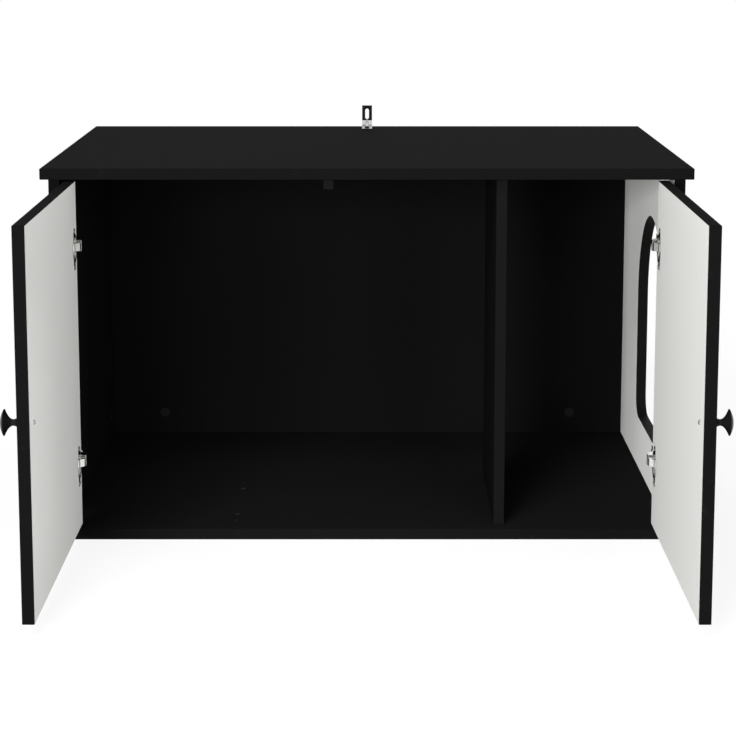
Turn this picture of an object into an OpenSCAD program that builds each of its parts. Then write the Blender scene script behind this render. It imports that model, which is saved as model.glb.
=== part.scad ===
// Cat house: a flat-pack cabinet with two doors on concealed hinges, an arched
// entrance in the right side and a short partition behind the right door.
// X runs to the right, Y to the rear, Z up. The origin is on the floor, under the
// middle of the base board. The doors are drawn open at 90 degrees.

/* [Cabinet] */
// Thickness of every board
board_t = 15; // [15:0.5:18]
// Width of the top board
top_w = 880; // [820:5:1000]
// Depth of the top board
top_d = 600; // [590:5:680]
// Height of the cabinet, floor to the top's upper face
cabinet_h = 515; // [500:5:620]
// Overhang of the top past each side board
side_overhang = 9; // [2:1:20]
// Overhang of the top behind the back board
rear_overhang = 25; // [10:1:40]
// Front of the top to the face of the closed doors
door_inset = 1; // [0:0.5:4]
// Centre of the partition, right of the middle
partition_x = 183; // [140:1:220]
// Depth of the partition
partition_d = 262; // [240:1:320]
// Front edge of the sides to the front edge of the partition
partition_setback = 3; // [2:1:12]

/* [Entrance] */
// Width of the arched entrance
entrance_w = 270; // [220:5:290]
// Front edge of the side board to the middle of the entrance
entrance_centre = 220.5; // [210:0.5:260]
// Floor to the sill of the entrance
entrance_sill = 93; // [70:1:140]
// Height of the entrance from sill to crown
entrance_h = 323; // [290:1:340]
// Radius of the two lower corners
entrance_corner_r = 30; // [15:1:60]
// Thickness of the edge band that lines the entrance
edge_band_t = 1; // [0.6:0.1:2]

/* [Doors] */
// Upper edge of a door to the top board
door_top_gap = 3; // [2:0.5:5]
// Base board's upper face to the lower edge of a door
door_floor_gap = 3; // [2:0.5:5]
// Side board showing beside a closed door
door_reveal = 1; // [0.5:0.5:2]
// Gap between the two closed doors
door_centre_gap = 3; // [2:0.5:6]
// Gap between a closed door and the front edge of its side board
door_back_gap = 2; // [1.6:0.1:3]

/* [Hinges] */
// End of a door to the middle of its nearer hinge
hinge_end = 89.5; // [80:0.5:130]
// Diameter of the hinge cup
cup_d = 35; // [35:0.5:36]
// Depth of the hinge cup in the door
cup_depth = 11.5; // [11:0.1:12.5]
// Hinge edge of the door to the middle of the cup
cup_inset = 22.5; // [22:0.5:23.5]
// Height of the flange on the cup
flange_h = 58; // [56:1:64]
// Distance between the two screws of a cup
cup_screw_pitch = 48; // [46:1:50]
// Distance from the inner face of the side to the outer face of an open door
open_inset = 7; // [6:0.5:8]
// Distance from the front edge of the side to the hinge edge of an open door
open_forward = 2; // [1.5:0.1:3]
// Distance from the inner face of the side to the far face of the arm
arm_reach = 28; // [27.6:0.1:30]
// Width of the arm, along the door's height
arm_w = 15; // [14.6:0.1:18]
// Front edge of the side to the screws of the mounting plate
plate_setback = 37; // [36:1:40]
// Distance between the two screws of a mounting plate
plate_screw_pitch = 32; // [30:1:36]

/* [Knobs] */
// Diameter of the knob's cap
knob_d = 32; // [26:1:38]
// Height of the knob above the door
knob_h = 24.5; // [20:0.5:32]
// Diameter of the knob's foot
knob_foot_d = 17; // [14:0.5:20]
// Free edge of the door to the middle of the knob
knob_inset = 30; // [24:1:45]

/* [Fittings] */
// Board edge to the middle of a cam lock
cam_setback = 34; // [32:1:36]
// Diameter of a cam lock
cam_d = 15; // [14:0.5:15]
// Diameter of a dowel
dowel_d = 8; // [6:0.5:8]
// Length of a dowel
dowel_l = 30; // [24:1:34]
// Middle of the back board to each of its cam locks
back_cam_x = 331; // [280:1:360]
// Width of the wall bracket
bracket_w = 16; // [14:1:24]
// Height of the wall bracket above the top
bracket_h = 34; // [30:1:45]
// Length of the wall bracket's leg on the top
bracket_leg = 60; // [40:1:80]
// Thickness of the wall bracket
bracket_t = 2; // [1.5:0.1:3]
// Width of the bracket's wall slot
slot_w = 6; // [4.5:0.1:7]
// Length of the bracket's wall slot
slot_l = 16.6; // [10:0.1:20]
// Middle of the top to the middle of the door stop
stop_x = 52; // [30:1:90]
// Width of the door stop
stop_w = 13.6; // [10:0.1:24]
// Depth of the door stop
stop_d = 30; // [20:1:40]

/* [Hidden] */
$fn = 64;
cut = 1;
fine_gap = 0.1;
run_gap = 0.05;

// Carcass: the sides, back and partition stand on the base and carry the top.
body_w = top_w - 2 * side_overhang;
body_d = top_d - rear_overhang;
front_y = -body_d / 2;
back_y = body_d / 2;
top_z = cabinet_h - board_t;
inner_h = top_z - board_t;
side_x = body_w / 2 - board_t;
side_front = door_inset + board_t + door_back_gap;
side_y = front_y + side_front;
side_d = body_d - side_front;
partition_y = side_y + partition_setback;

// Entrance: a straight-sided opening with a half-round crown.
entrance_y = side_y + entrance_centre;
entrance_spring = entrance_sill + entrance_h - entrance_w / 2;

// Doors: full overlay, both of one size.
door_w = (body_w - 2 * door_reveal - door_centre_gap) / 2;
door_z = board_t + door_floor_gap;
door_h = top_z - door_top_gap - door_z;
door_mid_z = door_z + door_h / 2;
hinge_zs = [door_z + hinge_end, door_z + door_h - hinge_end];

// Hinge plan: P is inboard from the side's inner face, Q is behind its front edge.
// A door place is [distance from the hinge edge, distance from the outer face].
pin_r = 1.5;
cup_pin_place = [14, board_t - 3];
arm_pin_offset = 18;
closed_corner = [door_reveal - board_t, -door_back_gap - board_t];
pin_open = [open_inset + cup_pin_place[1], -open_forward - cup_pin_place[0]];
pin_closed = closed_corner + cup_pin_place;
pin_travel = pin_open - pin_closed;
arm_pin = (pin_open + pin_closed) / 2
    + arm_pin_offset * [-pin_travel[1], pin_travel[0]] / norm(pin_travel);
lever_l = norm(pin_open - arm_pin);
lever_angle = atan2(pin_open[1] - arm_pin[1], pin_open[0] - arm_pin[0]);
lever_half_w = 2.1;
lever_eye_r = 3;
lever_z = 5.5;
cheek_t = 1.5;
web_t = 1.5;
arm_cavity = arm_w - 2 * cheek_t;
arm_low = 8;
arm_mid = 14.5;
arm_eye = 3.4;
arm_rear = 64;
ramp_rear = 26;
ramp_front = 12;
eye_rear = 9;
foot_front = 20;
flange_t = 1;
flange_r = cup_d / 2 + 2;

// The lever's middle line: over the rim of the door and down into the cup.
lever_clearance = 0.5;
knee_inset = 1.2;
bend_reach = 3.2;
lever_rise = open_inset + board_t + flange_t + lever_clearance + lever_half_w - arm_pin[0];
lever_knee = arm_pin[1] + open_forward - knee_inset;
lever_bend = lever_knee + cup_inset - cup_d / 2 + bend_reach;
lever_line = [[0, 0], [lever_knee, lever_rise], [lever_bend, lever_rise], [lever_l, 0]];

// Cup, mounting plate and their screws.
wing_w = 14;
wing_shift = 6;
cup_wall = 1;
cup_r = cup_d / 2 - fine_gap;
cup_screw_r = 2;
cup_screw_l = 10;
cup_screw_head_r = 3.6;
cup_screw_head_t = 1.1;
screw_head_t = 1.8;
plate_t = 2;
plate_h = plate_screw_pitch + 14;
plate_w = 15;
ridge_front = 15;
ridge_rear = 60;
plate_screw_r = 2.2;
plate_screw_l = 11;
plate_screw_head_r = 4;
fixing_q = 50;
adjusting_q = 30;
arm_screw_r = 2.5;
arm_screw_head_r = 4;
arm_screw_head_t = 2.4;
arm_screw_l = 8;
recess_w = 1;
recess_t = 0.9;

// Knob and its screw.
knob_neck_r = 4;
knob_foot_h = 1.5;
knob_neck_h = 9;
knob_rim_t = 0.6;
knob_dome_h = 4.5;
knob_curve_steps = 8;
knob_screw_r = 2;
knob_screw_head_r = 3.5;
knob_screw_depth = 12;

// Cam joints: a lock in a face, a bolt through the edge and a dowel beside it.
cam_t = 12.5;
bolt_r = 3;
bolt_bore_r = 4;
bolt_thread_r = 2.5;
bolt_thread_l = 11;
bolt_head_r = 3.6;
bolt_head_l = 3;
dowel_pitch = 32;
dowel_sink = 11;
side_cam_inset = 37;
partition_bolts = [24, 224];
partition_dowels = [56, 192];
joint_z = [board_t, top_z];

// Wall bracket and door stop.
bracket_bend_r = 8;
slot_z = 12;
bracket_hole_r = 2.5;
bracket_screw_r = 2;
bracket_dart_w = 8;
bracket_dart_l = 9.6;
bracket_hole_inset = 12;
bracket_screw_head_r = 4;
bracket_screw_head_t = 2.2;
bracket_screw_l = 12;
stop_h = 15;
stop_clearance = 0.3;
stop_screw_r = 1.8;
stop_screw_l = 9;
stop_screw_head_r = 3.2;
stop_screw_head_t = 2.5;

black = [0.09, 0.09, 0.09];
knob_black = [0.13, 0.13, 0.13];
light = [0.78, 0.78, 0.76];
steel = [0.72, 0.72, 0.7];
pale_wood = [0.78, 0.64, 0.44];

// Shapes that repeat.

// A flat cut-out shape for the entrance, grown by a margin, drawn in Y and Z.
module entrance_outline(grow) {
    low_r = entrance_corner_r + grow;
    half_w = entrance_w / 2 + grow;
    union() {
        translate([0, entrance_spring]) circle(r = half_w);
        translate([-half_w, entrance_sill - grow + low_r])
            square([2 * half_w, entrance_spring - entrance_sill + grow - low_r]);
        translate([-half_w + low_r, entrance_sill - grow]) square([2 * (half_w - low_r), low_r + cut]);
        for (side = [-1, 1]) {
            translate([side * (half_w - low_r), entrance_sill - grow + low_r]) circle(r = low_r);
        }
    }
}

// Stands a flat Y-Z shape up and gives it a thickness along X.
module upright_x(thick) {
    rotate([90, 0, 90]) linear_extrude(thick) children();
}

// A rod along +X from the origin.
module rod_x(r, l) {
    rotate([0, 90, 0]) cylinder(r = r, h = l);
}

// A cross recess for a driver, cut into a head whose face looks along +Z.
module cross_recess(r) {
    translate([-r, -recess_w / 2, -recess_t]) cube([2 * r, recess_w, recess_t + cut]);
    translate([-recess_w / 2, -r, -recess_t]) cube([recess_w, 2 * r, recess_t + cut]);
}

// A wood screw along -Z whose head sits on the plane Z = 0.
module wood_screw(head_r, head_t, shank_r, shank_l) {
    difference() {
        union() {
            cylinder(r1 = head_r, r2 = head_r * 0.7, h = head_t);
            translate([0, 0, -shank_l]) cylinder(r = shank_r, h = shank_l + head_t / 2);
        }
        translate([0, 0, head_t]) cross_recess(head_r * 0.5);
    }
}

// Cam joints, at the foot and the head of every upright board.

// Puts its children in a joint plane: the base at level 0, the top, upside down, at 1.
module at_level(level) {
    translate([0, 0, joint_z[level]]) mirror([0, 0, level]) children();
}

// Mirrors its children for the right side.
module for_side(side) {
    mirror([side > 0 ? 1 : 0, 0, 0]) children();
}

// Puts its children at the cam joints of a side board, with -X into the board.
module at_side_joints(side, levels) {
    for (level = levels) {
        for (y = [side_y + side_cam_inset, back_y - side_cam_inset]) {
            for_side(side) translate([-side_x, y, 0]) at_level(level) children();
        }
    }
}

// Puts its children at the cam joints of the back board, with -X into the board.
module at_back_joints(levels) {
    for (level = levels) {
        for (x = [-back_cam_x, back_cam_x]) {
            translate([x, back_y - board_t, 0]) at_level(level) rotate(-90) children();
        }
    }
}

// Puts its children at the cam joints of the partition, with -X into the board.
module at_partition_joints(levels) {
    for (level = levels) {
        for (y = partition_bolts) {
            translate([partition_x + board_t / 2, partition_y + y, 0]) at_level(level) children();
        }
    }
}

// Puts its children at every cam joint on the given levels.
module at_cam_joints(levels) {
    at_side_joints(-1, levels) children();
    at_side_joints(1, levels) children();
    at_back_joints(levels) children();
    at_partition_joints(levels) children();
}

// The dowels of a side board, in the middle of its thickness.
module side_dowels(side, levels) {
    for (level = levels) {
        for (y = [side_y + side_cam_inset + dowel_pitch, back_y - side_cam_inset - dowel_pitch]) {
            translate([side * (side_x + board_t / 2), y, 0]) at_level(level) dowel();
        }
    }
}

// The dowels of the back board.
module back_dowels(levels) {
    for (level = levels) {
        for (x = [dowel_pitch - back_cam_x, back_cam_x - dowel_pitch]) {
            translate([x, back_y - board_t / 2, 0]) at_level(level) dowel();
        }
    }
}

// The dowels of the partition.
module partition_dowel_rods(levels) {
    for (level = levels) {
        for (y = partition_dowels) {
            translate([partition_x, partition_y + y, 0]) at_level(level) dowel();
        }
    }
}

// Every dowel on the given levels.
module all_dowels(levels) {
    side_dowels(-1, levels);
    side_dowels(1, levels);
    back_dowels(levels);
    partition_dowel_rods(levels);
}

// One cam lock, its face flush with the board.
module cam_lock() {
    difference() {
        translate([-cam_t, 0, cam_setback]) rod_x(cam_d / 2 - fine_gap, cam_t);
        translate([-board_t / 2, 0, cam_setback - cam_d / 2 - cut])
            cylinder(r = bolt_head_r + fine_gap, h = cam_d / 2 + cut + bolt_head_l);
        translate([0, 0, cam_setback]) rotate([0, 90, 0]) cross_recess(cam_d / 4);
    }
}

// One cam bolt, from its thread in the next board to its head in the lock.
module cam_bolt() {
    translate([-board_t / 2, 0, 0]) {
        translate([0, 0, -bolt_thread_l]) cylinder(r = bolt_thread_r, h = bolt_thread_l + cut);
        cylinder(r = bolt_r, h = cam_setback);
        translate([0, 0, cam_setback - bolt_head_l / 2]) cylinder(r = bolt_head_r, h = bolt_head_l);
    }
}

// What a cam joint cuts out of the board that holds the lock.
module cam_pocket() {
    translate([-cam_t, 0, cam_setback]) rod_x(cam_d / 2, cam_t + cut);
    translate([-board_t / 2, 0, -cut]) cylinder(r = bolt_bore_r, h = cam_setback + cut);
}

// What a cam joint cuts out of the board that the bolt screws into.
module bolt_pocket() {
    translate([-board_t / 2, 0, -bolt_thread_l]) cylinder(r = bolt_thread_r, h = bolt_thread_l + cut);
}

// A dowel, its longer end in the upright board.
module dowel() {
    translate([0, 0, -dowel_sink]) cylinder(r = dowel_d / 2, h = dowel_l);
}

// Bolt and dowel holes for fitting the partition left of the middle instead.
module spare_partition_holes(level) {
    for (y = partition_bolts) {
        translate([board_t / 2 - partition_x, partition_y + y, 0]) at_level(level) bolt_pocket();
    }
    for (y = partition_dowels) {
        translate([-partition_x, partition_y + y, 0]) at_level(level) translate([0, 0, -dowel_sink])
            cylinder(r = dowel_d / 2, h = dowel_sink + cut);
    }
}

// Boards.

module top_panel() {
    color(black) difference() {
        translate([-top_w / 2, front_y, top_z]) cube([top_w, top_d, board_t]);
        at_cam_joints([1]) bolt_pocket();
        all_dowels([1]);
        spare_partition_holes(1);
        at_bracket_screw() cylinder(r = bracket_screw_r, h = 2 * bracket_screw_l, center = true);
        at_stop_screw() cylinder(r = stop_screw_r, h = 2 * stop_screw_l, center = true);
    }
}

module bottom_panel() {
    color(black) difference() {
        translate([-body_w / 2, front_y, 0]) cube([body_w, body_d, board_t]);
        at_cam_joints([0]) bolt_pocket();
        all_dowels([0]);
        spare_partition_holes(0);
    }
}

// A side board on the given side, with its hinge holes front and rear.
module side_board(side) {
    difference() {
        translate([side > 0 ? side_x : -side_x - board_t, side_y, board_t])
            cube([board_t, side_d, inner_h]);
        at_side_joints(side, [0, 1]) cam_pocket();
        side_dowels(side, [0, 1]);
        for (z = hinge_zs) {
            for (step = [-1, 1]) {
                for (q = [plate_setback, side_d - plate_setback]) {
                    at_hinge(side, z) translate([-plate_screw_l, q, step * plate_screw_pitch / 2])
                        rod_x(plate_screw_r, plate_screw_l + cut);
                }
            }
        }
    }
}

module left_side_panel() {
    color(black) side_board(-1);
}

module right_side_panel() {
    color(light) difference() {
        side_board(1);
        translate([side_x - cut, entrance_y, 0])
            upright_x(board_t + 2 * cut) entrance_outline(edge_band_t);
    }
}

module back_panel() {
    color(black) difference() {
        translate([-side_x, back_y - board_t, board_t]) cube([2 * side_x, board_t, inner_h]);
        at_back_joints([0, 1]) cam_pocket();
        back_dowels([0, 1]);
    }
}

module partition_panel() {
    color(black) difference() {
        translate([partition_x - board_t / 2, partition_y, board_t])
            cube([board_t, partition_d, inner_h]);
        at_partition_joints([0, 1]) cam_pocket();
        partition_dowel_rods([0, 1]);
    }
}

module entrance_edge_band() {
    color(black) translate([side_x, entrance_y, 0]) upright_x(board_t) difference() {
        entrance_outline(edge_band_t);
        entrance_outline(0);
    }
}

// Doors. Each is drawn for the left side and mirrored for the right.

// Puts its children in hinge plan axes, X for P and Y for Q, at a hinge height.
module at_hinge(side, z) {
    for_side(side) translate([-side_x, side_y, z]) children();
}

// Puts its children on an open door: +X is away from the hinge edge, +Z is from
// the outer face to the inner face and Y is along the door's height.
module at_open_door(side, z) {
    at_hinge(side, z) translate([open_inset, -open_forward, 0])
        rotate([-90, 0, 0]) rotate([0, 90, 0]) children();
}

module door(side) {
    color(light) difference() {
        at_open_door(side, door_mid_z) translate([0, -door_h / 2, 0]) cube([door_w, door_h, board_t]);
        for (z = hinge_zs) {
            at_open_door(side, z) {
                translate([cup_inset, 0, board_t - cup_depth - fine_gap])
                    cylinder(d = cup_d, h = cup_depth + fine_gap + cut);
                at_cup_screws() translate([0, 0, -cup_screw_l])
                    cylinder(r = cup_screw_r, h = cup_screw_l + cut);
            }
        }
        at_open_door(side, door_mid_z) translate([door_w - knob_inset, 0, -cut])
            cylinder(r = knob_screw_r + fine_gap, h = board_t + 2 * cut);
    }
}

// Puts its children at the two screws of a hinge cup, on the door's inner face.
module at_cup_screws() {
    for (step = [-1, 1]) {
        translate([cup_inset + wing_shift, step * cup_screw_pitch / 2, board_t]) children();
    }
}

module hinge_cup(side, z) {
    color(steel) at_open_door(side, z) difference() {
        union() {
            translate([cup_inset, 0, board_t - cup_depth]) cylinder(r = cup_r, h = cup_depth);
            translate([cup_inset, 0, board_t]) cylinder(r = flange_r, h = flange_t);
            translate([cup_inset + wing_shift - wing_w / 2, -flange_h / 2 + wing_w / 2, board_t])
                cube([wing_w, flange_h - wing_w, flange_t]);
            for (step = [-1, 1]) {
                translate([cup_inset + wing_shift, step * (flange_h - wing_w) / 2, board_t])
                    cylinder(d = wing_w, h = flange_t);
            }
        }
        translate([cup_inset, 0, board_t - cup_depth + cup_wall])
            cylinder(r = cup_r - cup_wall, h = cup_depth + cut);
        translate([cup_pin_place[0], 0, cup_pin_place[1]])
            rotate([90, 0, 0]) cylinder(r = pin_r, h = cup_d, center = true);
        at_cup_screws() translate([0, 0, -cut]) cylinder(r = cup_screw_r + fine_gap, h = flange_t + 2 * cut);
    }
}

module cup_pins(side) {
    pin_half = sqrt(pow(cup_r, 2) - pow(cup_inset - cup_pin_place[0], 2)) - cup_wall / 2;
    color(steel) for (z = hinge_zs) {
        at_open_door(side, z) translate([cup_pin_place[0], 0, cup_pin_place[1]])
            rotate([90, 0, 0]) cylinder(r = pin_r, h = 2 * pin_half, center = true);
    }
}

module cup_screws(side) {
    color(steel) for (z = hinge_zs) {
        at_open_door(side, z) at_cup_screws() translate([0, 0, flange_t])
            wood_screw(cup_screw_head_r, cup_screw_head_t, cup_screw_r, cup_screw_l);
    }
}

// Bars between neighbouring points of a line, with round joints.
module bent_bar(points, half_w) {
    for (i = [0 : len(points) - 2]) {
        step = points[i + 1] - points[i];
        translate(points[i]) rotate(atan2(step[1], step[0]))
            translate([0, -half_w]) square([norm(step), 2 * half_w]);
    }
    for (i = [0 : len(points) - 1]) {
        translate(points[i]) circle(r = half_w);
    }
}

module hinge_lever(side, z) {
    color(steel) at_hinge(side, z) translate([arm_pin[0], arm_pin[1], 0]) rotate(lever_angle)
        linear_extrude(2 * lever_z, center = true) difference() {
            union() {
                bent_bar(lever_line, lever_half_w);
                circle(r = lever_eye_r);
                translate([lever_l, 0]) circle(r = lever_eye_r);
            }
            circle(r = pin_r + run_gap);
            translate([lever_l, 0]) circle(r = pin_r + run_gap);
        }
}

// The arm: a channel that steps up from the mounting plate to the lever's pin.
module hinge_arm(side, z) {
    eye_p = arm_pin[0] - arm_eye;
    eye_q = arm_pin[1] - arm_eye;
    color(steel) at_hinge(side, z) difference() {
        linear_extrude(arm_w, center = true) polygon([
            [arm_low, arm_rear], [arm_mid, arm_rear], [arm_mid, ramp_rear], [arm_reach, ramp_front],
            [arm_reach, eye_q], [eye_p, eye_q], [eye_p, eye_rear], [arm_low, foot_front]
        ]);
        linear_extrude(arm_cavity, center = true) polygon([
            [0, arm_rear + cut], [arm_mid - web_t, arm_rear + cut], [arm_mid - web_t, ramp_rear - web_t / 2],
            [arm_reach - web_t, ramp_front - web_t / 2], [arm_reach - web_t, eye_q - cut], [0, eye_q - cut]
        ]);
        translate([arm_pin[0], arm_pin[1], 0]) cylinder(r = pin_r, h = arm_w + 2 * cut, center = true);
        for (q = [fixing_q, adjusting_q]) {
            translate([arm_mid - web_t - cut, q, 0]) rod_x(arm_screw_r + fine_gap, web_t + 2 * cut);
        }
    }
}

module hinge_arm_pins() {
    color(steel) for (side = [-1, 1]) {
        for (z = hinge_zs) {
            at_hinge(side, z) translate([arm_pin[0], arm_pin[1], 0])
                cylinder(r = pin_r, h = arm_w, center = true);
        }
    }
}

module mounting_plate(side, z) {
    color(steel) at_hinge(side, z) difference() {
        union() {
            translate([0, plate_setback - plate_w / 2, -plate_h / 2]) cube([plate_t, plate_w, plate_h]);
            translate([0, ridge_front, -arm_cavity / 2 + fine_gap])
                cube([arm_mid - web_t, ridge_rear - ridge_front, arm_cavity - 2 * fine_gap]);
        }
        for (step = [-1, 1]) {
            translate([-cut, plate_setback, step * plate_screw_pitch / 2])
                rod_x(plate_screw_r + fine_gap, plate_t + 2 * cut);
        }
        for (q = [fixing_q, adjusting_q]) {
            translate([arm_mid - web_t - arm_screw_l, q, 0]) rod_x(arm_screw_r, arm_screw_l + cut);
        }
    }
}

module plate_screws() {
    color(steel) for (side = [-1, 1]) {
        for (z = hinge_zs) {
            for (step = [-1, 1]) {
                at_hinge(side, z) translate([plate_t, plate_setback, step * plate_screw_pitch / 2])
                    rotate([0, 90, 0])
                        wood_screw(plate_screw_head_r, screw_head_t, plate_screw_r, plate_screw_l);
            }
        }
    }
}

// The two machine screws of every arm: head on the web, shank in the plate.
module arm_screws(q, head_t) {
    color(steel) for (side = [-1, 1]) {
        for (z = hinge_zs) {
            at_hinge(side, z) translate([arm_mid, q, 0]) rotate([0, 90, 0])
                wood_screw(arm_screw_head_r, head_t, arm_screw_r, arm_screw_l - web_t);
        }
    }
}

// Points from the knob's neck to a wider radius, on a curve that steepens as it goes.
function knob_line(neck_h, end_h, end_r) = [
    for (i = [0 : knob_curve_steps])
        let (share = i / knob_curve_steps)
            [knob_neck_r + (end_r - knob_neck_r) * pow(share, 2), neck_h + (end_h - neck_h) * share]
];

module knob(side) {
    cap_r = knob_d / 2;
    rim_h = knob_h - knob_dome_h;
    under_h = rim_h - knob_rim_t;
    dome_r = (pow(cap_r, 2) + pow(knob_dome_h, 2)) / (2 * knob_dome_h);
    foot_line = knob_line(knob_neck_h, knob_foot_h, knob_foot_d / 2);
    cap_line = knob_line(knob_neck_h, under_h, cap_r);
    color(knob_black) at_open_door(side, door_mid_z) translate([door_w - knob_inset, 0, 0])
        rotate([180, 0, 0]) difference() {
            rotate_extrude() union() {
                polygon(concat(
                    [[0, rim_h], [0, 0], [knob_foot_d / 2, 0]],
                    [for (i = [knob_curve_steps : -1 : 0]) foot_line[i]],
                    [for (i = [1 : knob_curve_steps]) cap_line[i]],
                    [[cap_r, rim_h]]
                ));
                intersection() {
                    translate([0, knob_h - dome_r]) circle(r = dome_r);
                    translate([0, rim_h - fine_gap]) square([cap_r, knob_dome_h + fine_gap]);
                }
            }
            translate([0, 0, -cut]) cylinder(r = knob_screw_r, h = knob_screw_depth + cut);
        }
}

module knob_screw(side) {
    color(steel) at_open_door(side, door_mid_z) translate([door_w - knob_inset, 0, board_t])
        wood_screw(knob_screw_head_r, screw_head_t, knob_screw_r, board_t + knob_screw_depth);
}

// Wall bracket and door stop.

module at_bracket_screw() {
    translate([0, front_y + top_d - bracket_leg + bracket_hole_inset, cabinet_h]) children();
}

// The bent strip from its side. The rear lower corner is at the origin.
module bracket_strip() {
    outer_r = bracket_bend_r + bracket_t;
    translate([-bracket_leg, 0]) square([bracket_leg - outer_r, bracket_t]);
    translate([-bracket_t, outer_r]) square([bracket_t, bracket_h - outer_r]);
    intersection() {
        translate([-outer_r, outer_r]) difference() {
            circle(r = outer_r);
            circle(r = bracket_bend_r);
        }
        translate([-outer_r, 0]) square(outer_r);
    }
}

// A pressed dart that stiffens the bend, and ends inside the strip. The inner faces would
// meet at the origin.
module bracket_dart() {
    sink = bracket_t / 2;
    corner_gap = bracket_bend_r * (sqrt(2) - 1) - sink;
    depth = bracket_dart_l * sqrt(0.5) - corner_gap;
    intersection() {
        translate([0, -bracket_dart_l / 2, bracket_dart_l / 2]) rotate([45, 0, 0]) rotate([90, 0, 0])
            linear_extrude(2 * bracket_dart_l, center = true)
                polygon([[0, 0], [-bracket_dart_w / 2, -depth], [bracket_dart_w / 2, -depth]]);
        translate([-bracket_w / 2, -bracket_dart_l, -sink])
            cube([bracket_w, bracket_dart_l + sink, bracket_dart_l + sink]);
    }
}

module wall_bracket() {
    rear_y = front_y + top_d;
    color(steel) difference() {
        union() {
            translate([-bracket_w / 2, rear_y, cabinet_h]) upright_x(bracket_w) bracket_strip();
            translate([0, rear_y - bracket_t, cabinet_h + bracket_t]) bracket_dart();
        }
        translate([0, rear_y + cut, cabinet_h + slot_z + slot_w / 2]) rotate([90, 0, 0])
            cylinder(d = slot_w, h = bracket_t + 2 * cut);
        translate([0, rear_y + cut, cabinet_h + slot_z + slot_l - slot_w / 2]) rotate([90, 0, 0])
            cylinder(d = slot_w, h = bracket_t + 2 * cut);
        translate([-slot_w / 2, rear_y - bracket_t - cut, cabinet_h + slot_z + slot_w / 2])
            cube([slot_w, bracket_t + 2 * cut, slot_l - slot_w]);
        at_bracket_screw() translate([0, 0, -cut]) cylinder(r = bracket_hole_r, h = bracket_t + 2 * cut);
    }
}

module wall_bracket_screw() {
    color(steel) at_bracket_screw() translate([0, 0, bracket_t])
        wood_screw(bracket_screw_head_r, bracket_screw_head_t, bracket_screw_r, bracket_screw_l);
}

module at_stop_screw() {
    translate([-stop_x, front_y + door_inset + board_t + stop_clearance + stop_d / 2, top_z]) children();
}

module door_stop() {
    color(black) difference() {
        translate([-stop_x - stop_w / 2, front_y + door_inset + board_t + stop_clearance, top_z - stop_h])
            cube([stop_w, stop_d, stop_h]);
        at_stop_screw() translate([0, 0, -stop_h - cut]) {
            cylinder(r = stop_screw_r + fine_gap, h = stop_h + 2 * cut);
            cylinder(r = stop_screw_head_r + fine_gap, h = stop_screw_head_t + 2 * cut);
        }
    }
}

module door_stop_screw() {
    seat = stop_h - stop_screw_head_t - cut;
    color(steel) at_stop_screw() translate([0, 0, -seat]) mirror([0, 0, 1])
        wood_screw(stop_screw_head_r, stop_screw_head_t, stop_screw_r, seat + stop_screw_l);
}

top_panel();
bottom_panel();
left_side_panel();
right_side_panel();
back_panel();
partition_panel();
entrance_edge_band();
door(-1);  // left_door
door(1);  // right_door
knob(-1);  // left_knob
knob(1);  // right_knob
knob_screw(-1);  // left_knob_screw
knob_screw(1);  // right_knob_screw
hinge_cup(-1, hinge_zs[1]);  // left_upper_hinge_cup
hinge_cup(-1, hinge_zs[0]);  // left_lower_hinge_cup
hinge_cup(1, hinge_zs[1]);  // right_upper_hinge_cup
hinge_cup(1, hinge_zs[0]);  // right_lower_hinge_cup
hinge_lever(-1, hinge_zs[1]);  // left_upper_hinge_lever
hinge_lever(-1, hinge_zs[0]);  // left_lower_hinge_lever
hinge_lever(1, hinge_zs[1]);  // right_upper_hinge_lever
hinge_lever(1, hinge_zs[0]);  // right_lower_hinge_lever
hinge_arm(-1, hinge_zs[1]);  // left_upper_hinge_arm
hinge_arm(-1, hinge_zs[0]);  // left_lower_hinge_arm
hinge_arm(1, hinge_zs[1]);  // right_upper_hinge_arm
hinge_arm(1, hinge_zs[0]);  // right_lower_hinge_arm
mounting_plate(-1, hinge_zs[1]);  // left_upper_mounting_plate
mounting_plate(-1, hinge_zs[0]);  // left_lower_mounting_plate
mounting_plate(1, hinge_zs[1]);  // right_upper_mounting_plate
mounting_plate(1, hinge_zs[0]);  // right_lower_mounting_plate
hinge_arm_pins();
cup_pins(-1);  // left_cup_pins
cup_pins(1);  // right_cup_pins
cup_screws(-1);  // left_cup_screws
cup_screws(1);  // right_cup_screws
plate_screws();
arm_screws(fixing_q, arm_screw_head_t);  // arm_fixing_screws
arm_screws(adjusting_q, screw_head_t);  // arm_adjusting_screws
color(steel) at_cam_joints([0, 1]) cam_lock();  // cam_locks
color(steel) at_cam_joints([0, 1]) cam_bolt();  // cam_bolts
color(pale_wood) all_dowels([0, 1]);  // dowels
wall_bracket();
wall_bracket_screw();
door_stop();
door_stop_screw();
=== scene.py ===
"""Finishes, rounded edges and a plain stage for the cat house cabinet.

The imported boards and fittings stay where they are. Each operator finishes one group of
pieces, and the last one sets the floor, the light and the camera.
"""

from collections import namedtuple
from math import radians

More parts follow.
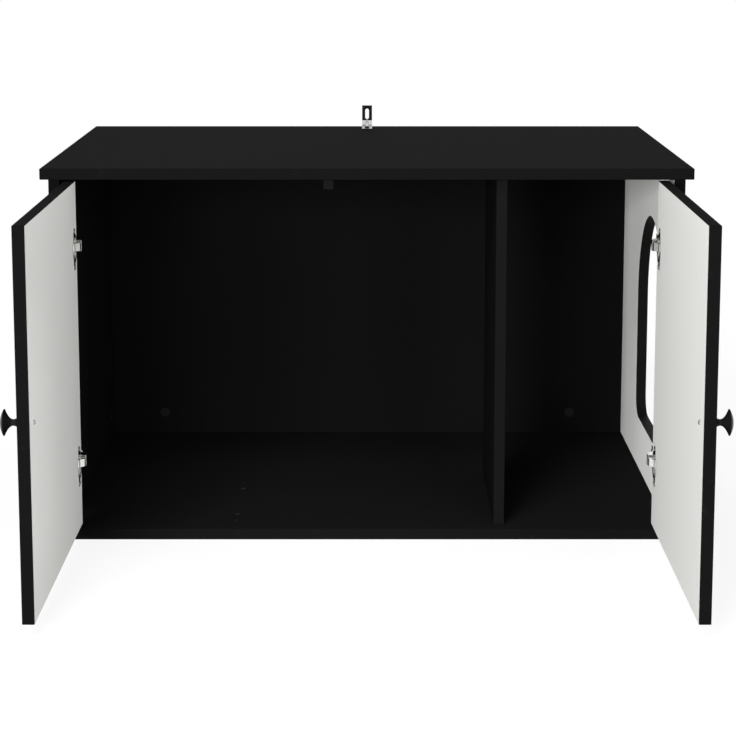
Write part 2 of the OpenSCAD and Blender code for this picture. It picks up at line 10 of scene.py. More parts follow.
import bpy
from bpy.props import FloatProperty, FloatVectorProperty, PointerProperty
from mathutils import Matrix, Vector


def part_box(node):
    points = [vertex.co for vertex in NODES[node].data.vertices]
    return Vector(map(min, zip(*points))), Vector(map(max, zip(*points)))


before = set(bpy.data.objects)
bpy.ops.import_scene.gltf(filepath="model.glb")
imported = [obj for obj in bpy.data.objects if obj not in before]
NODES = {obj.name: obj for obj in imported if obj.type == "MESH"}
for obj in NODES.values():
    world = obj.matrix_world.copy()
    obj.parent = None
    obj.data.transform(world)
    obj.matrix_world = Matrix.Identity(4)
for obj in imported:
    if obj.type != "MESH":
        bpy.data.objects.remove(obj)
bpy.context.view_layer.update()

bl_info = {
    "name": "Cat House Cabinet",
    "version": (1, 0, 0),
    "blender": (4, 5, 0),
    "location": "View3D > Sidebar > Cat House",
    "description": "Finishes, rounded edges and a plain stage for a flat-pack cat house",
    "category": "Object",
}

MM = 0.001
SENSOR_WIDTH = 36
FLOOR_REACH = 40.0
FLOOR_DROP = 0.2 * MM
CAMERA_NEAR, CAMERA_FAR = 0.05, 200
SHARP_EDGE = radians(40)
FLAT_EDGE = radians(0.3)
SAME_CORNER = 0.005 * MM
SAME_FACE = 0.05 * MM
BETWEEN_ONE_AND_TWO = 1.5
BOARD_ROUNDING_STEPS = 3
PRESSING_ROUNDING_STEPS = 2

# Places of a colour mix's two colours among its inputs, and of its result.
MIX_COLOURS = (6, 7)
MIX_RESULT = 2

# How light a board's black is beside the set colour, which way its outer face looks along its
# thickness, how light the black of the outer face and of the front strip are, and how light
# the pale inner face is, where the board has one. These shares are painted light and shade:
# the one black melamine and the one pale face are made lighter or darker, board by board and
# face by face, as the light falls on them.
Board = namedtuple("Board", "black outside outer_black front pale", defaults=(0.8, None))
BOARDS = {
    "top_panel": Board(1.95, 1, 1.95),
    "bottom_panel": Board(1.75, -1, 2.0, 0.94),
    "left_side_panel": Board(1.1, -1, 2.3),
    "right_side_panel": Board(1.0, 1, 2.3, pale=1.12),
    "back_panel": Board(0.85, 1, 2.3),
    "partition_panel": Board(1.2, 1, 1.2, 1.04),
    "left_door": Board(1.0, -1, 1.5, pale=1.0),
    "right_door": Board(1.0, 1, 1.5, pale=0.85),
}
HINGE_PLACES = ("left_upper", "left_lower", "right_upper", "right_lower")
KNOBS = ("left_knob", "right_knob")
PINS = ("hinge_arm_pins", "left_cup_pins", "right_cup_pins")
SCREWS = (
    "left_knob_screw", "right_knob_screw", "left_cup_screws", "right_cup_screws",
    "plate_screws", "arm_fixing_screws", "arm_adjusting_screws", "cam_bolts", "door_stop_screw",
)

# Where each lamp hangs, how wide and high it is, and the setting that holds its power. The
# side lamps hang low and the rear lamp in the middle, so that the cabinet keeps them off the
# open doors' inner faces.
Lamp = namedtuple("Lamp", "place size power")
LAMPS = {
    "front": Lamp((-1.12, -4.47, 0.9), (1.3, 1.1), "front_power"),
    "fill": Lamp((2.15, -4.05, 1.0), (2.4, 1.9), "fill_power"),
    "high": Lamp((-1.2, -3.3, 3.3), (1.6, 1.6), "high_power"),
    "left": Lamp((-4.0, 1.6, 0.3), (2.2, 0.5), "side_power"),
    "right": Lamp((4.0, 1.6, 0.3), (2.2, 0.5), "side_power"),
    "rear": Lamp((0, 4.6, 1.0), (2.0, 1.2), "rear_power"),
}
LAMP_TARGET = (0, 0, 0.3)


# Settings

class BoardSettings(bpy.types.PropertyGroup):
    """Looks of the boards and of the strips on their edges."""

    black: FloatVectorProperty(
        name="Black", description="Colour of the black melamine", subtype="COLOR",
        size=3, min=0, max=1, default=(0.0038, 0.0038, 0.0038))
    pale: FloatVectorProperty(
        name="Pale", description="Colour of the pale inner faces", subtype="COLOR",
        size=3, min=0, max=1, default=(0.660, 0.664, 0.642))
    core: FloatVectorProperty(
        name="Core", description="Colour of the dark fibreboard in the drilled holes",
        subtype="COLOR", size=3, min=0, max=1, default=(0.045, 0.040, 0.036))
    strip: FloatProperty(
        name="Edge strip", description="Thickness of the strip glued on each edge",
        unit="LENGTH", default=0.9 * MM, min=0.3 * MM, max=3 * MM)
    rounding: FloatProperty(
        name="Rounding", description="Width of the rounded outer edges", unit="LENGTH",
        default=1.2 * MM, min=0.2 * MM, max=3 * MM)
    roughness: FloatProperty(
        name="Roughness", description="Roughness of the melamine", subtype="FACTOR",
        default=0.6, min=0, max=1)


class FittingSettings(bpy.types.PropertyGroup):
    """Looks of the hinges, knobs, screws and joint fittings."""

    nickel: FloatVectorProperty(
        name="Nickel", description="Colour of the nickel plate", subtype="COLOR",
        size=3, min=0, max=1, default=(0.88, 0.875, 0.86))
    bright_nickel: FloatVectorProperty(
        name="Bright nickel", description="Colour of the polished plate on the wall bracket",
        subtype="COLOR", size=3, min=0, max=1, default=(0.62, 0.62, 0.63))
    zinc: FloatVectorProperty(
        name="Zinc", description="Colour of the zinc plate on the screws", subtype="COLOR",
        size=3, min=0, max=1, default=(0.48, 0.49, 0.51))
    black_zinc: FloatVectorProperty(
        name="Black zinc", description="Colour of the cam locks and the bracket's screw",
        subtype="COLOR", size=3, min=0, max=1, default=(0.007, 0.007, 0.007))
    lacquer: FloatVectorProperty(
        name="Lacquer", description="Colour of the knobs", subtype="COLOR",
        size=3, min=0, max=1, default=(0.005, 0.005, 0.005))
    beech: FloatVectorProperty(
        name="Beech", description="Colour of the dowels", subtype="COLOR",
        size=3, min=0, max=1, default=(0.56, 0.37, 0.20))
    rounding: FloatProperty(
        name="Rounding", description="Width of the rounded edges of pressed steel",
        unit="LENGTH", default=0.25 * MM, min=0.05 * MM, max=1 * MM)


class StageSettings(bpy.types.PropertyGroup):
    """Floor, light and camera."""

    floor: FloatVectorProperty(
        name="Floor", description="Colour of the floor as it is seen", subtype="COLOR",
        size=3, min=0, max=1, default=(0.8, 0.8, 0.8))
    floor_bounce: FloatVectorProperty(
        name="Floor bounce", description="Colour of the light that the floor throws back",
        subtype="COLOR", size=3, min=0, max=1, default=(0.25, 0.25, 0.25))
    floor_glow: FloatProperty(
        name="Floor glow", subtype="FACTOR", default=0.86, min=0, max=1,
        description="Share of the floor by the object that shows as plain white")
    shadow_reach: FloatProperty(
        name="Shadow reach", unit="LENGTH", default=0.9, min=0.1, max=10,
        description="How far from the middle the floor starts to be all white")
    ambient: FloatProperty(
        name="Ambient", description="Strength of the light from all round",
        default=0.40, min=0, max=3)
    front_power: FloatProperty(
        name="Front light", unit="POWER", default=345, min=0, max=2000,
        description="Power of the lamp in front, which reaches into the cabinet")
    fill_power: FloatProperty(
        name="Fill light", unit="POWER", default=170, min=0, max=2000,
        description="Power of the lamp at the right")
    high_power: FloatProperty(
        name="High light", unit="POWER", default=130, min=0, max=2000,
        description="Power of the lamp high in front, for the top and the floor")
    side_power: FloatProperty(
        name="Side lights", unit="POWER", default=180, min=0, max=2000,
        description="Power of the lamps at the left and right, behind the doors")
    rear_power: FloatProperty(
        name="Rear light", unit="POWER", default=125, min=0, max=2000,
        description="Power of the lamp behind, which lights only the back")
    camera_place: FloatVectorProperty(
        name="Camera", description="Where the camera stands", subtype="TRANSLATION",
        unit="LENGTH", size=3, default=(0.0015, -3.1052, 0.8408))
    camera_pitch: FloatProperty(
        name="Pitch", description="How far the camera looks down", subtype="ANGLE",
        unit="ROTATION", default=radians(9.206), min=0, max=radians(90))
    lens: FloatProperty(
        name="Lens", description="Focal length on a 36 mm sensor", subtype="DISTANCE_CAMERA",
        default=103.3, min=20, max=300)
    shift: FloatProperty(
        name="Shift", description="Lens shift, which keeps the uprights nearly parallel",
        default=-0.14, min=-0.2, max=0.2)


class CatHouseSettings(bpy.types.PropertyGroup):
    """Everything that a user would change."""

    boards: PointerProperty(type=BoardSettings)
    fittings: PointerProperty(type=FittingSettings)
    stage: PointerProperty(type=StageSettings)


# Materials

class Finish:
    """A material in the making, with short calls that add nodes and join them."""

    def __init__(self, name):
        self.material = bpy.data.materials.new(name)
        self.material.use_nodes = True
        self.tree = self.material.node_tree
        self.tree.nodes.clear()
        self.output = self.add("ShaderNodeOutputMaterial")
        self.surface = self.add("ShaderNodeBsdfPrincipled")
        self.feed(self.output.inputs["Surface"], self.surface.outputs["BSDF"])
        self.place = self.add("ShaderNodeTexCoord").outputs["Object"]

    def add(self, kind, **settings):
        node = self.tree.nodes.new(kind)
        for name, value in settings.items():
            setattr(node, name, value)
        return node

    def feed(self, socket, value):
        if isinstance(value, bpy.types.NodeSocket):
            self.tree.links.new(value, socket)
        else:
            socket.default_value = value

    def set(self, **values):
        """Sets the surface's sockets, with underscores for the spaces in their names."""
        for name, value in values.items():
            self.feed(self.surface.inputs[name.replace("_", " ")], value)

    def math(self, operation, *values):
        node = self.add("ShaderNodeMath", operation=operation)
        for socket, value in zip(node.inputs, values):
            self.feed(socket, value)
        return node.outputs["Value"]

    def spread(self, value, low, high, to_low=0.0, to_high=1.0, smooth=True):
        """Spreads value from low..high to to_low..to_high, held at both ends."""
        kind = "SMOOTHSTEP" if smooth else "LINEAR"
        node = self.add("ShaderNodeMapRange", interpolation_type=kind)
        for name, number in (("Value", value), ("From Min", low), ("From Max", high),
                             ("To Min", to_low), ("To Max", to_high)):
            self.feed(node.inputs[name], number)
        return node.outputs["Result"]

    def blend(self, share, first, second):
        node = self.add("ShaderNodeMix", data_type="RGBA")
        self.feed(node.inputs["Factor"], share)
        for number, colour in zip(MIX_COLOURS, (first, second)):
            self.feed(node.inputs[number], colour)
        return node.outputs[MIX_RESULT]

    def noise(self, per_metre, detail=2.0, roughness=0.5, stretch=(1, 1, 1)):
        """Noise with so many waves to the metre, from 0 to 1."""
        place = self.place
        if stretch != (1, 1, 1):
            place = self.stretched(stretch)
        node = self.add("ShaderNodeTexNoise")
        for name, value in (("Vector", place), ("Scale", per_metre), ("Detail", detail),
                            ("Roughness", roughness)):
            self.feed(node.inputs[name], value)
        return node.outputs["Fac"]

    def cells(self, per_metre, output="Distance"):
        node = self.add("ShaderNodeTexVoronoi")
        self.feed(node.inputs["Vector"], self.place)
        self.feed(node.inputs["Scale"], per_metre)
        return node.outputs[output]

    def stretched(self, stretch):
        node = self.add("ShaderNodeVectorMath", operation="MULTIPLY")
        self.feed(node.inputs[0], self.place)
        node.inputs[1].default_value = stretch
        return node.outputs["Vector"]

    def bump(self, height, depth, under=None):
        """Raises the surface by height times depth metres."""
        node = self.add("ShaderNodeBump")
        self.feed(node.inputs["Height"], height)
        node.inputs["Distance"].default_value = depth
        if under is not None:
            self.feed(node.inputs["Normal"], under)
        return node.outputs["Normal"]


def tone(colour, share=1.0):
    """A colour made darker or lighter, with full opacity."""
    return (*(min(1.0, part * share) for part in colour), 1.0)


def depths_in_board(finish, low, high):
    """How deep a point lies under each pair of a board's faces, and its place from the middle."""
    middle, half = (low + high) / 2, (high - low) / 2
    node = finish.add("ShaderNodeVectorMath", operation="SUBTRACT")
    finish.feed(node.inputs[0], finish.place)
    node.inputs[1].default_value = middle
    parts = finish.add("ShaderNodeSeparateXYZ")
    finish.feed(parts.inputs[0], node.outputs["Vector"])
    offsets = [parts.outputs[axis] for axis in "XYZ"]
    depths = [
        finish.math("SUBTRACT", half[axis], finish.math("ABSOLUTE", offsets[axis]))
        for axis in range(3)
    ]
    return depths, offsets


def black_face(finish, cloud, speck, black, share):
    """The black of a board's face: slightly clouded, with fine lighter specks, and made lighter
    or darker by share, which paints light and shade on the face.
    """
    face = finish.blend(cloud, tone(black, 0.95 * share), tone(black, 1.05 * share))
    return finish.blend(finish.spread(speck, 0.58, 0.8), face, tone(black, 1.25 * share))


def pale_face(finish, cloud, speck, pale, share):
    """The pale of a door's inner face: almost even, with fine darker specks, and made lighter
    or darker by share, which paints light and shade on the face.
    """
    face = finish.blend(cloud, tone(pale, 0.99 * share), tone(pale, 1.01 * share))
    return finish.blend(finish.spread(speck, 0.6, 0.85, 0.0, 0.4), face, tone(pale, 0.93 * share))


def laminate(name, board, look):
    """Melamine board: fine pearl texture, edge strips, dark fibreboard in the drilled holes and,
    on some boards, a pale inner face. Its faces and strips are made lighter or darker board by
    board, as painted light and shade."""
    low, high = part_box(name)
    size = high - low
    across = min(range(3), key=lambda axis: size[axis])
    finish = Finish(f"{name}_laminate")
    depths, offsets = depths_in_board(finish, low, high)
    face_depth = depths[across]
    edge_depth = finish.math("MINIMUM", *(depths[axis] for axis in range(3) if axis != across))
    in_strip = finish.spread(edge_depth, look.strip, look.strip + 0.15 * MM, 1.0, 0.0, False)
    outward = finish.math("MULTIPLY", offsets[across], board.outside)

    cloud = finish.noise(6, 3, 0.55)
    speck = finish.noise(900, 2, 0.6)
    # Painted light and shade: the inner and outer faces are lighter or darker copies of one
    # black, by the board's shares.
    inner = black_face(finish, cloud, speck, look.black, board.black)
    outer = black_face(finish, cloud, speck, look.black, board.outer_black)
    face = finish.blend(finish.spread(outward, -1 * MM, 1 * MM), inner, outer)

    # Painted light and shade: the front strip and the side strips are lighter or darker copies of
    # one black.
    front = finish.blend(speck, tone(look.black, 0.92 * board.front),
                         tone(look.black, 1.08 * board.front))
    side = finish.blend(speck, tone(look.black, 0.9 * board.outer_black),
                        tone(look.black, 1.05 * board.outer_black))
    behind_front = look.strip - size[1] / 2
    past_front = finish.spread(offsets[1], behind_front, behind_front + 0.2 * MM)
    colour = finish.blend(in_strip, face, finish.blend(past_front, front, side))
    rub = finish.math("MULTIPLY", finish.spread(edge_depth, 0.0, 0.5 * look.rounding, 1.0, 0.0),
                      finish.spread(finish.noise(55, 4, 0.6), 0.6, 0.8, 0.0, 0.3))
    colour = finish.blend(rub, colour, tone(look.black, 2.2))

    if board.pale:
        inner_face = -size[across] / 2
        on_inner = finish.spread(outward, inner_face + 0.2 * MM, inner_face + 0.4 * MM, 1.0, 0.0)
        shows = finish.math("MULTIPLY", on_inner, finish.math("SUBTRACT", 1.0, in_strip))
        # Painted light and shade: the pale face is lighter or darker board by board, by the
        # board's share.
        pale = pale_face(finish, cloud, speck, look.pale, board.pale)
        colour = finish.blend(shows, colour, pale)

    past_rounding = finish.spread(edge_depth, look.rounding + 0.3 * MM, look.rounding + 0.5 * MM)
    deep = finish.math("MULTIPLY", finish.spread(face_depth, 0.5 * MM, 0.7 * MM), past_rounding)
    chip = finish.add("ShaderNodeSeparateColor")
    finish.feed(chip.inputs[0], finish.cells(420, "Color"))
    core = finish.blend(chip.outputs[0], tone(look.core, 0.7), tone(look.core, 1.3))
    colour = finish.blend(deep, colour, core)

    seam = finish.math("MULTIPLY", finish.spread(edge_depth, look.strip - 0.1 * MM, look.strip),
                       finish.spread(edge_depth, look.strip, look.strip + 0.2 * MM, 1.0, 0.0))
    seam = finish.math("MULTIPLY", seam, finish.spread(face_depth, 0.3 * MM, 0.5 * MM, 1.0, 0.0))
    pearl = finish.math("ADD", finish.noise(1500, 2, 0.5),
                        finish.math("MULTIPLY", finish.cells(650), 0.6))
    normal = finish.bump(pearl, 0.015 * MM)
    normal = finish.bump(finish.math("SUBTRACT", 1.0, seam), 0.08 * MM, normal)
    normal = finish.bump(finish.math("MULTIPLY", deep, chip.outputs[1]), 0.3 * MM, normal)

    smooth = finish.spread(speck, 0.3, 0.7, look.roughness - 0.02, look.roughness + 0.03)
    smooth = finish.math("SUBTRACT", smooth, finish.math("MULTIPLY", in_strip, 0.05))
    rough = finish.math("MAXIMUM", smooth, finish.math("MULTIPLY", deep, 0.95))
    finish.set(Base_Color=colour, Roughness=rough, Normal=normal, Specular_IOR_Level=0.001)
    return finish.material


def edge_trim(look):
    """Black plastic strip, bent round the entrance, with the fine lines of its extrusion."""
    finish = Finish("entrance_strip")
    lines = finish.noise(1400, 2, 0.5, (1, 0.02, 0.02))
    scuff = finish.noise(60, 4, 0.6)
    colour = finish.blend(finish.spread(scuff, 0.6, 0.8, 0.0, 0.4), tone(look.black, 0.75),
                          tone(look.black, 1.1))
    rough = finish.spread(lines, 0.2, 0.8, 0.5, 0.62)
    finish.set(Base_Color=colour, Roughness=rough, Normal=finish.bump(lines, 0.02 * MM),
               Specular_IOR_Level=0.03)
    return finish.material


def lacquer(look):
    """Black lacquered knob, smooth, with faint dimples and handling marks."""
    finish = Finish("knob_lacquer")
    marks = finish.noise(90, 4, 0.6)
    colour = finish.blend(marks, tone(look.lacquer, 0.7), tone(look.lacquer, 1.5))
    rough = finish.spread(marks, 0.35, 0.7, 0.18, 0.30)
    dimples = finish.bump(finish.noise(500, 2), 0.01 * MM)
    finish.set(Base_Color=colour, Roughness=rough, Normal=dimples, Specular_IOR_Level=0.08)
    return finish.material


def plated(name, colour, roughness, stretch, line_depth=0.003 * MM):
    """Plated steel: slight clouding in the plate, and the drawn lines of the sheet."""
    finish = Finish(name)
    cloud = finish.noise(120, 4, 0.6)
    lines = finish.noise(900, 3, 0.6, stretch)
    tint = finish.blend(finish.spread(cloud, 0.3, 0.7), tone(colour, 0.95), tone(colour, 1.03))
    dull = finish.spread(finish.noise(260, 3, 0.6), 0.66, 0.82, 0.0, 0.5)
    tint = finish.blend(dull, tint, tone(colour, 0.8))
    rough = finish.spread(lines, 0.25, 0.75, 0.7 * roughness, 1.5 * roughness)
    finish.set(Base_Color=tint, Metallic=1.0, Roughness=rough,
               Normal=finish.bump(lines, line_depth))
    return finish.material


def black_zinc(name, look, cap=None):
    """Black passivated zinc: dull, faintly grainy, with lighter rubbed grains. Where a cap
    colour is given, the pieces in the right side board wear caps of that colour."""
    finish = Finish(name)
    grain = finish.noise(1100, 3, 0.6)
    colour = finish.blend(grain, tone(look.black_zinc, 0.7), tone(look.black_zinc, 1.3))
    colour = finish.blend(finish.spread(grain, 0.68, 0.8), colour, tone(look.black_zinc, 2.5))
    if cap is not None:
        across = finish.add("ShaderNodeSeparateXYZ")
        finish.feed(across.inputs[0], finish.place)
        inner_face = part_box("right_side_panel")[0][0]
        in_right = finish.spread(across.outputs["X"], inner_face - 0.2 * MM,
                                 inner_face - 0.1 * MM)
        capped = finish.blend(grain, tone(cap, 0.9), tone(cap, 1.02))
        colour = finish.blend(in_right, colour, capped)
    finish.set(Base_Color=colour, Roughness=finish.spread(grain, 0.2, 0.8, 0.42, 0.55),
               Normal=finish.bump(grain, 0.02 * MM), Specular_IOR_Level=0.06)
    return finish.material


def beech(look):
    """Bare beech: short dark rays in a fine straight grain."""
    finish = Finish("bare_beech")
    grain = finish.noise(500, 3, 0.6, (1, 1, 0.08))
    rays = finish.spread(finish.noise(900, 1, 0.5, (1, 1, 0.25)), 0.62, 0.72)
    colour = finish.blend(grain, tone(look.beech, 0.8), tone(look.beech, 1.15))
    colour = finish.blend(finish.math("MULTIPLY", rays, 0.6), colour, tone(look.beech, 0.5))
    finish.set(Base_Color=colour, Roughness=0.7, Normal=finish.bump(grain, 0.05 * MM))
    return finish.material


def stop_plastic(look):
    """Moulded black plastic with a fine spark texture."""
    finish = Finish("stop_plastic")
    spark = finish.noise(1300, 3, 0.6)
    colour = finish.blend(spark, tone(look.black, 0.7), tone(look.black, 1.3))
    finish.set(Base_Color=colour, Roughness=finish.spread(spark, 0.2, 0.8, 0.5, 0.65),
               Normal=finish.bump(spark, 0.04 * MM), Specular_IOR_Level=0.02)
    return finish.material


def dress(node, material):
    """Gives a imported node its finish."""
    part = NODES[node]
    if not part.material_slots:
        raise RuntimeError(f"{node} has no material slot to dress")
    for slot in part.material_slots:
        slot.link = "OBJECT"
        slot.material = material


# Rounded edges

def outer_edge_marker():
    """A node group that marks a board's twelve outer edges for the bevel, not its holes.

    An edge is an outer one where its middle lies on two of the box's faces, so the group counts
    the axes along which the middle is on a face, and marks a count of two.
    """
    group = bpy.data.node_groups.new("Mark outer edges", "GeometryNodeTree")
    sockets = group.interface
    sockets.new_socket("Geometry", in_out="INPUT", socket_type="NodeSocketGeometry")
    sockets.new_socket("Low", in_out="INPUT", socket_type="NodeSocketVector")
    sockets.new_socket("High", in_out="INPUT", socket_type="NodeSocketVector")
    sockets.new_socket("Geometry", in_out="OUTPUT", socket_type="NodeSocketGeometry")
    add, join = group.nodes.new, group.links.new
    start, end = add("NodeGroupInput"), add("NodeGroupOutput")
    place = add("GeometryNodeInputPosition")
    gaps = []
    for first, second in ((place.outputs[0], start.outputs["Low"]),
                          (start.outputs["High"], place.outputs[0])):
        gap = add("ShaderNodeVectorMath")
        gap.operation = "SUBTRACT"
        join(first, gap.inputs[0])
        join(second, gap.inputs[1])
        gaps.append(gap)
    nearest = add("ShaderNodeVectorMath")
    nearest.operation = "MINIMUM"
    for number, gap in enumerate(gaps):
        join(gap.outputs["Vector"], nearest.inputs[number])
    parts = add("ShaderNodeSeparateXYZ")
    join(nearest.outputs["Vector"], parts.inputs[0])
    count = None
    for axis in "XYZ":
        close = add("ShaderNodeMath")
        close.operation = "LESS_THAN"
        join(parts.outputs[axis], close.inputs[0])
        close.inputs[1].default_value = SAME_FACE
        if count is None:
            count = close.outputs[0]
            continue
        total = add("ShaderNodeMath")
        join(count, total.inputs[0])
        join(close.outputs[0], total.inputs[1])
        count = total.outputs[0]
    mark = add("ShaderNodeMath")
    mark.operation = "GREATER_THAN"
    join(count, mark.inputs[0])
    mark.inputs[1].default_value = BETWEEN_ONE_AND_TWO
    store = add("GeometryNodeStoreNamedAttribute")
    store.data_type, store.domain = "FLOAT", "EDGE"
    store.inputs["Name"].default_value = "bevel_weight_edge"
    join(start.outputs["Geometry"], store.inputs["Geometry"])
    join(mark.outputs[0], store.inputs["Value"])
    join(store.outputs["Geometry"], end.inputs["Geometry"])
    return group


def clean_faces(part):
    """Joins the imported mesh's split corners and flat triangles, ahead of a bevel."""
    weld = part.modifiers.new("Join corners", "WELD")
    weld.merge_threshold = SAME_CORNER
    flat = part.modifiers.new("Join flat faces", "DECIMATE")
    flat.decimate_type = "DISSOLVE"
    flat.angle_limit = FLAT_EDGE


def even_shading(part):
    shade = part.modifiers.new("Even shading", "WEIGHTED_NORMAL")
    shade.keep_sharp = False
    shade.weight = 70


def round_board(board, width, marker):
    """Rounds a board's outer edges and leaves its drilled holes sharp."""
    part = NODES[board]
    low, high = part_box(board)
    clean_faces(part)
    mark = part.modifiers.new("Mark outer edges", "NODES")
    mark.node_group = marker
    names = {item.name: item.identifier for item in marker.interface.items_tree
             if item.in_out == "INPUT"}
    mark[names["Low"]] = low
    mark[names["High"]] = high
    bevel = part.modifiers.new("Round edges", "BEVEL")
    bevel.limit_method = "WEIGHT"
    bevel.width, bevel.segments = width, BOARD_ROUNDING_STEPS
    bevel.use_clamp_overlap = False
    even_shading(part)


def round_pressing(node, width):
    """Rounds every sharp edge of a small metal or plastic piece."""
    part = NODES[node]
    clean_faces(part)
    bevel = part.modifiers.new("Round edges", "BEVEL")
    bevel.limit_method, bevel.angle_limit = "ANGLE", SHARP_EDGE
    bevel.width, bevel.segments = width, PRESSING_ROUNDING_STEPS
    even_shading(part)


# Operators

def settings(context):
    return context.scene.cat_house


class CATHOUSE_OT_boards(bpy.types.Operator):
    """Finishes the boards and doors, and rounds their outer edges"""

    bl_idname = "cat_house.boards"
    bl_label = "Boards and Doors"

    def execute(self, context):
        look = settings(context).boards
        marker = outer_edge_marker()
        for name, board in BOARDS.items():
            dress(name, laminate(name, board, look))
            round_board(name, look.rounding, marker)
        return {"FINISHED"}


class CATHOUSE_OT_entrance(bpy.types.Operator):
    """Finishes the strip that lines the entrance"""

    bl_idname = "cat_house.entrance"
    bl_label = "Entrance Strip"

    def execute(self, context):
        dress("entrance_edge_band", edge_trim(settings(context).boards))
        return {"FINISHED"}


class CATHOUSE_OT_knobs(bpy.types.Operator):
    """Finishes the two knobs"""

    bl_idname = "cat_house.knobs"
    bl_label = "Knobs"

    def execute(self, context):
        material = lacquer(settings(context).fittings)
        for knob in KNOBS:
            dress(knob, material)
        return {"FINISHED"}


class CATHOUSE_OT_hinges(bpy.types.Operator):
    """Finishes the hinge cups, levers, arms, plates and pins"""

    bl_idname = "cat_house.hinges"
    bl_label = "Hinges"

    def execute(self, context):
        look = settings(context).fittings
        upright = plated("nickel_upright", look.nickel, 0.10, (1, 1, 0.05))
        level = plated("nickel_level", look.nickel, 0.16, (1, 0.05, 1))
        for place in HINGE_PLACES:
            for piece, material in (("hinge_cup", upright), ("hinge_lever", level),
                                    ("hinge_arm", level), ("mounting_plate", upright)):
                dress(f"{place}_{piece}", material)
                round_pressing(f"{place}_{piece}", look.rounding)
        for pins in PINS:
            dress(pins, level)
        return {"FINISHED"}


class CATHOUSE_OT_screws(bpy.types.Operator):
    """Finishes the screws and cam bolts"""

    bl_idname = "cat_house.screws"
    bl_label = "Screws"

    def execute(self, context):
        material = plated("zinc_plate", settings(context).fittings.zinc, 0.16, (1, 1, 1))
        for screws in SCREWS:
            dress(screws, material)
        return {"FINISHED"}


class CATHOUSE_OT_joints(bpy.types.Operator):
    """Finishes the cam locks and dowels"""

    bl_idname = "cat_house.joints"
    bl_label = "Cam Locks and Dowels"

    def execute(self, context):
        look = settings(context).fittings
        dress("cam_locks", black_zinc("capped_zinc", look, settings(context).boards.pale))
        dress("dowels", beech(look))
        return {"FINISHED"}


class CATHOUSE_OT_bracket(bpy.types.Operator):
    """Finishes the wall bracket and its screw"""

    bl_idname = "cat_house.bracket"
    bl_label = "Wall Bracket"

    def execute(self, context):
        look = settings(context).fittings
        polished = plated("nickel_bracket", look.bright_nickel, 0.035, (0.05, 1, 1), 0.0005 * MM)
        dress("wall_bracket", polished)
        dress("wall_bracket_screw", black_zinc("black_zinc", look))
        round_pressing("wall_bracket", look.rounding)
        return {"FINISHED"}


class CATHOUSE_OT_door_stop(bpy.types.Operator):
    """Finishes the block under the top"""

    bl_idname = "cat_house.door_stop"
    bl_label = "Door Stop"

    def execute(self, context):
        dress("door_stop", stop_plastic(settings(context).boards))
        round_pressing("door_stop", 2 * settings(context).fittings.rounding)
        return {"FINISHED"}


def shows_to_camera(tree):
    """1 for rays from the camera, from a reflection or through glass, otherwise 0."""
    path = tree.nodes.new("ShaderNodeLightPath")
    total = path.outputs["Is Camera Ray"]
    for name in ("Is Glossy Ray", "Is Transmission Ray"):
        node = tree.nodes.new("ShaderNodeMath")
        node.operation = "MAXIMUM"
        tree.links.new(total, node.inputs[0])
        tree.links.new(path.outputs[name], node.inputs[1])
        total = node.outputs[0]
    return total


def floor_finish(look):
    """Pale matt floor that shows white, keeps a faint shadow and throws back little light."""
    finish = Finish("floor_paint")
    grain = finish.noise(40, 3, 0.5)
    seen, bounced = (finish.blend(grain, tone(colour, 0.99), tone(colour, 1.01))
                     for colour in (look.floor, look.floor_bounce))
    to_camera = shows_to_camera(finish.tree)
    finish.set(Base_Color=finish.blend(to_camera, bounced, seen), Roughness=0.9,
               Specular_IOR_Level=0.0)
    glow = finish.add("ShaderNodeEmission")
    mix = finish.add("ShaderNodeMixShader")
    far = finish.add("ShaderNodeVectorMath", operation="LENGTH")
    finish.feed(far.inputs[0], finish.place)
    white = finish.spread(far.outputs["Value"], look.shadow_reach, 2 * look.shadow_reach,
                          look.floor_glow, 1.0)
    share = finish.math("MULTIPLY", to_camera, white)
    finish.feed(mix.inputs[0], share)
    finish.feed(mix.inputs[1], finish.surface.outputs["BSDF"])
    finish.feed(mix.inputs[2], glow.outputs["Emission"])
    finish.feed(finish.output.inputs["Surface"], mix.outputs["Shader"])
    return finish.material


def lay_floor(look):
    mesh = bpy.data.meshes.new("floor")
    corners = [(x * FLOOR_REACH, y * FLOOR_REACH, -FLOOR_DROP)
               for x, y in ((-1, -1), (1, -1), (1, 1), (-1, 1))]
    mesh.from_pydata(corners, [], [(0, 1, 2, 3)])
    floor = bpy.data.objects.new("floor", mesh)
    bpy.context.scene.collection.objects.link(floor)
    floor.data.materials.append(floor_finish(look))


def light_world(look):
    """White all round for the camera and reflections, and an even soft light on the object."""
    world = bpy.data.worlds.new("studio")
    world.use_nodes = True
    tree = world.node_tree
    background = next(n for n in tree.nodes if n.bl_idname == "ShaderNodeBackground")
    background.inputs["Color"].default_value = (1, 1, 1, 1)
    strength = tree.nodes.new("ShaderNodeMapRange")
    tree.links.new(shows_to_camera(tree), strength.inputs["Value"])
    strength.inputs["To Min"].default_value = look.ambient
    strength.inputs["To Max"].default_value = 1.0
    tree.links.new(strength.outputs["Result"], background.inputs["Strength"])
    bpy.context.scene.world = world


def hang_lamp(name, lamp, power):
    """Hangs a soft lamp that metal and lacquer don't mirror: they mirror the white room alone."""
    light = bpy.data.lights.new(name, "AREA")
    light.shape = "RECTANGLE"
    light.size, light.size_y = lamp.size
    light.energy = power
    holder = bpy.data.objects.new(name, light)
    bpy.context.scene.collection.objects.link(holder)
    holder.location = lamp.place
    holder.visible_glossy = False
    holder.rotation_mode = "QUATERNION"
    aim = Vector(LAMP_TARGET) - Vector(lamp.place)
    holder.rotation_quaternion = aim.to_track_quat("-Z", "Y")


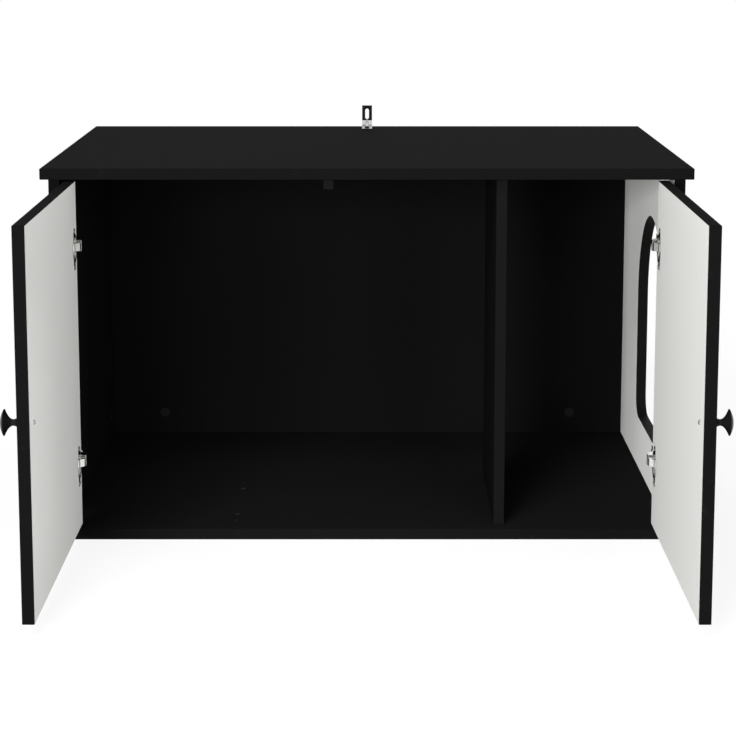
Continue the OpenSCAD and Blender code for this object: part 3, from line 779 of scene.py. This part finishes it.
def place_camera(look):
    camera = bpy.data.cameras.new("camera")
    camera.lens, camera.sensor_width = look.lens, SENSOR_WIDTH
    camera.shift_y = look.shift
    camera.clip_start, camera.clip_end = CAMERA_NEAR, CAMERA_FAR
    holder = bpy.data.objects.new("camera", camera)
    bpy.context.scene.collection.objects.link(holder)
    holder.location = look.camera_place
    holder.rotation_euler = (radians(90) - look.camera_pitch, 0, 0)
    bpy.context.scene.camera = holder


class CATHOUSE_OT_stage(bpy.types.Operator):
    """Lays the floor, lights the object and places the camera"""

    bl_idname = "cat_house.stage"
    bl_label = "Stage"

    def execute(self, context):
        look = settings(context).stage
        lay_floor(look)
        light_world(look)
        for name, lamp in LAMPS.items():
            hang_lamp(name, lamp, getattr(look, lamp.power))
        place_camera(look)
        context.scene.view_settings.view_transform = "Standard"
        return {"FINISHED"}


class CATHOUSE_PT_panel(bpy.types.Panel):
    """Lists the steps and the settings"""

    bl_idname = "CATHOUSE_PT_panel"
    bl_label = "Cat House"
    bl_space_type = "VIEW_3D"
    bl_region_type = "UI"
    bl_category = "Cat House"

    def draw(self, context):
        for operator in STEPS:
            self.layout.operator(operator.bl_idname)
        look = settings(context)
        for title, group in (("Boards", look.boards), ("Fittings", look.fittings),
                             ("Stage", look.stage)):
            box = self.layout.box()
            box.label(text=title)
            for name in group.__annotations__:
                box.prop(group, name)


GROUPS = (BoardSettings, FittingSettings, StageSettings, CatHouseSettings)
STEPS = (
    CATHOUSE_OT_boards, CATHOUSE_OT_entrance, CATHOUSE_OT_knobs, CATHOUSE_OT_hinges,
    CATHOUSE_OT_screws, CATHOUSE_OT_joints, CATHOUSE_OT_bracket, CATHOUSE_OT_door_stop,
    CATHOUSE_OT_stage,
)


def register():
    for thing in (*GROUPS, *STEPS, CATHOUSE_PT_panel):
        bpy.utils.register_class(thing)
    bpy.types.Scene.cat_house = PointerProperty(type=CatHouseSettings)


def unregister():
    del bpy.types.Scene.cat_house
    for thing in reversed((*GROUPS, *STEPS, CATHOUSE_PT_panel)):
        bpy.utils.unregister_class(thing)


def main():
    register()
    cabinet = bpy.ops.cat_house
    cabinet.boards()
    cabinet.entrance()
    cabinet.knobs()
    cabinet.hinges()
    cabinet.screws()
    cabinet.joints()
    cabinet.bracket()
    cabinet.door_stop()
    cabinet.stage()


if __name__ == "__main__":
    main()
